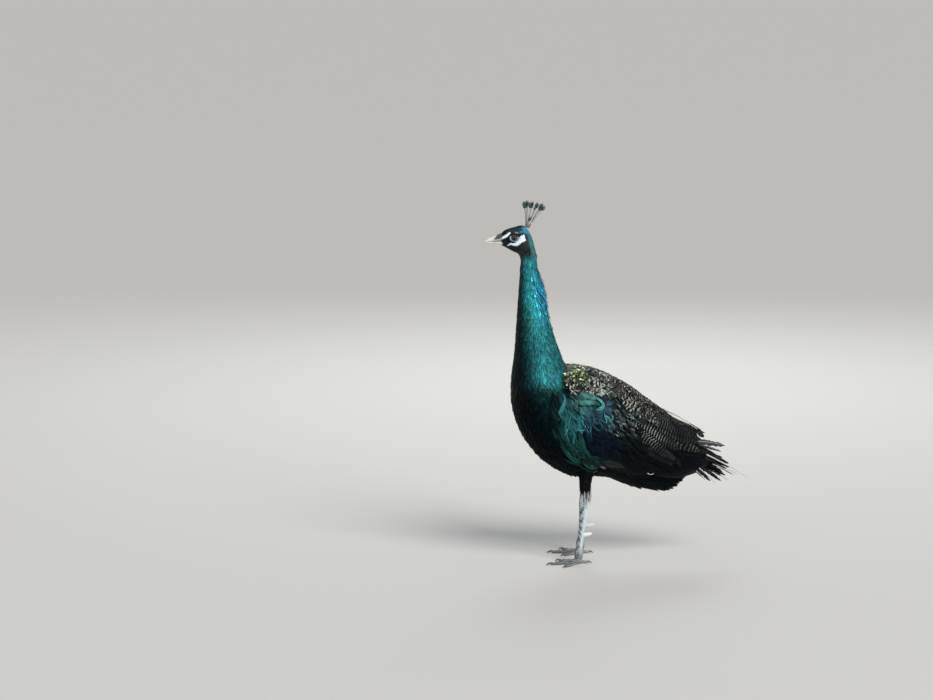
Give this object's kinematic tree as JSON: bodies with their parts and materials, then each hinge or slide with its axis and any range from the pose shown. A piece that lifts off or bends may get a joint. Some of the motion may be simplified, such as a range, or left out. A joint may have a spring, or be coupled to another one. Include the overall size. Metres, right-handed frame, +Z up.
{
  "type": "peacock",
  "caption": "Life-size still figure of a standing peacock out of its train, neck upright and wings folded, on its own two feet.",
  "frame": {"origin": "on the floor under the middle of the bird's bounding box", "axes": "+Z up, the bird faces -X, its left side is towards -Y"},
  "size_m": [0.6706, 0.2164, 0.9018],
  "materials": {
    "head_feathers": "short glossy feathers and bare white skin",
    "neck_feathers": "iridescent feathers",
    "breast_feathers": "iridescent feathers",
    "vent_feathers": "soft dark feathers",
    "thigh_feathers": "soft dark feathers",
    "scapular_feathers": "mottled feathers",
    "wing_feathers": "dark satin feathers",
    "tertial_feathers": "barred feathers",
    "flight_feathers": "stiff feathers with pale shafts",
    "crest_feathers": "bare shafts with small fans",
    "bill_horn": "satin horn",
    "eye": "glossy",
    "claw_horn": "satin horn",
    "spur_horn": "satin horn",
    "leg_scales": "scaly skin"
  },
  "bodies": {
    "root": {"bill_lower": "bill_horn", "bill_upper": "bill_horn", "claw_left_back": "claw_horn", "claw_left_inner": "claw_horn", "claw_left_middle": "claw_horn", "claw_left_outer": "claw_horn", "claw_right_back": "claw_horn", "claw_right_inner": "claw_horn", "claw_right_middle": "claw_horn", "claw_right_outer": "claw_horn", "crest": "crest_feathers", "eye_left": "eye", "eye_right": "eye", "foot_left": "leg_scales", "foot_right": "leg_scales", "head": "head_feathers", "neck_lower": "neck_feathers", "neck_middle": "neck_feathers", "neck_upper": "neck_feathers", "rump": "vent_feathers", "spur_left": "spur_horn", "spur_right": "spur_horn", "tail": "flight_feathers", "tarsus_left": "leg_scales", "tarsus_right": "leg_scales", "thigh_left": "thigh_feathers", "thigh_right": "thigh_feathers", "trunk": "breast_feathers", "wing_left_coverts": "wing_feathers", "wing_left_primaries": "flight_feathers", "wing_left_scapulars": "scapular_feathers", "wing_left_secondaries": "wing_feathers", "wing_left_tertials": "tertial_feathers", "wing_right_coverts": "wing_feathers", "wing_right_primaries": "flight_feathers", "wing_right_scapulars": "scapular_feathers", "wing_right_secondaries": "wing_feathers", "wing_right_tertials": "tertial_feathers"}
  },
  "joints": []
}
